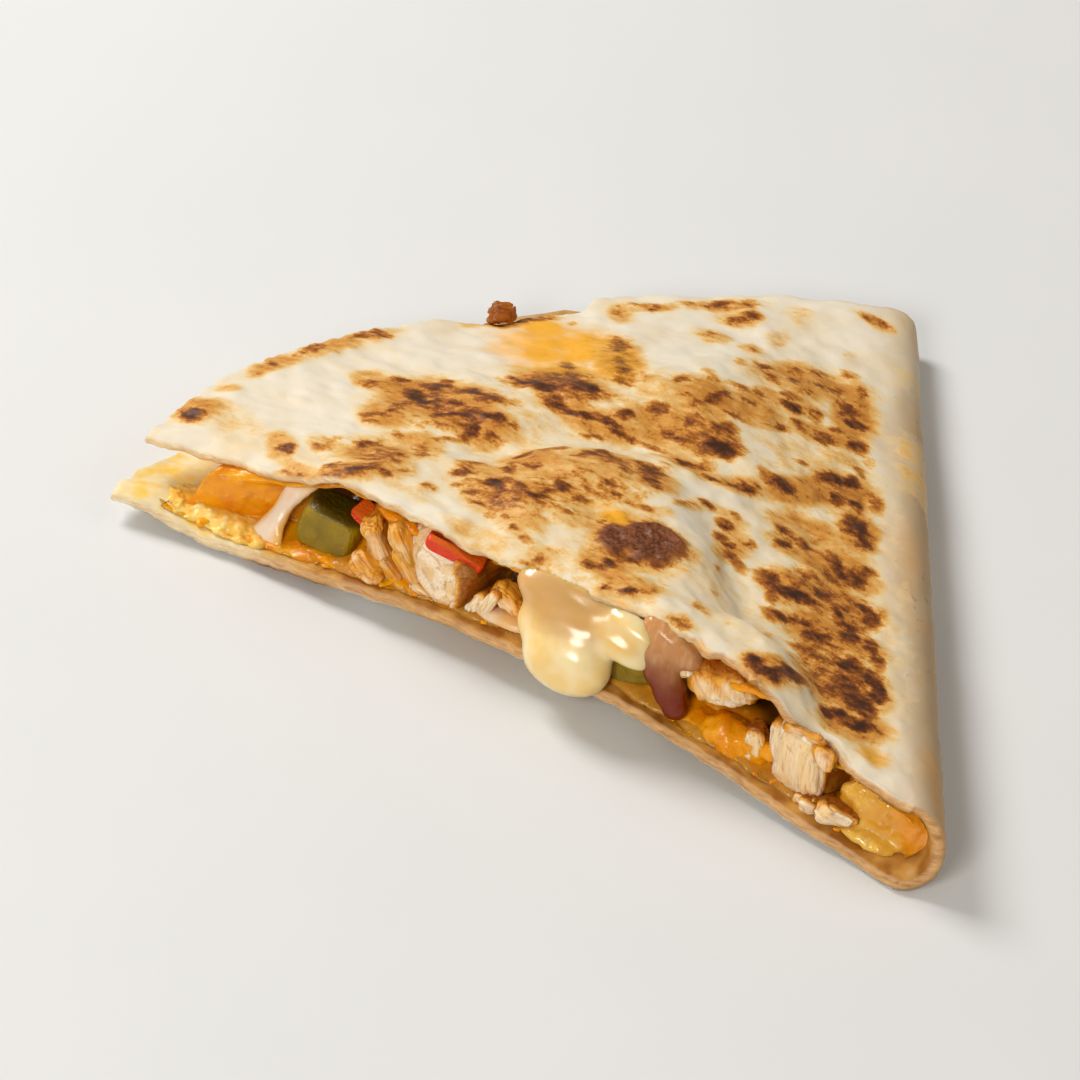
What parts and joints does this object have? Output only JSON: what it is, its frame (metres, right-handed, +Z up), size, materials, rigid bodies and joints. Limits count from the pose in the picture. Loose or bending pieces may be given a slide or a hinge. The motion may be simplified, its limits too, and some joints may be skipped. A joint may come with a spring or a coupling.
{
  "type": "quesadilla",
  "caption": "Wedge of a folded, griddled flour tortilla filled with melted cheese, chicken, peppers and onion, its cut side open and its rim round.",
  "frame": {"origin": "middle of the footprint, on the surface that the bottom flap rests on", "axes": "+Z up through the thickness; +Y along the fold, from the cut's end to the rim; the fold is on the +X side"},
  "size_m": [0.1111, 0.1215, 0.0192],
  "materials": {
    "tortilla": "matte griddled flour tortilla, cream with browned patches",
    "cheddar": "glossy melted orange cheese",
    "white_cheese": "glossy melted white cheese",
    "chicken": "moist cooked chicken, white grain and browned sides",
    "green_pepper": "moist cooked green pepper",
    "red_pepper": "moist cooked red pepper",
    "red_onion": "glossy cooked red onion",
    "onion": "translucent cooked onion"
  },
  "bodies": {
    "root": {"tortilla": "tortilla", "cheddar": "cheddar", "white_cheese": "white_cheese", "chicken_1": "chicken", "chicken_2": "chicken", "chicken_3": "chicken", "chicken_shred_1": "chicken", "chicken_shred_2": "chicken", "chicken_bit_1": "chicken", "chicken_bit_2": "chicken", "chicken_bit_3": "chicken", "chicken_crumb": "chicken", "green_pepper_1": "green_pepper", "green_pepper_2": "green_pepper", "red_pepper_1": "red_pepper", "red_pepper_2": "red_pepper", "red_onion_1": "red_onion", "onion_1": "onion", "onion_2": "onion"}
  },
  "joints": []
}
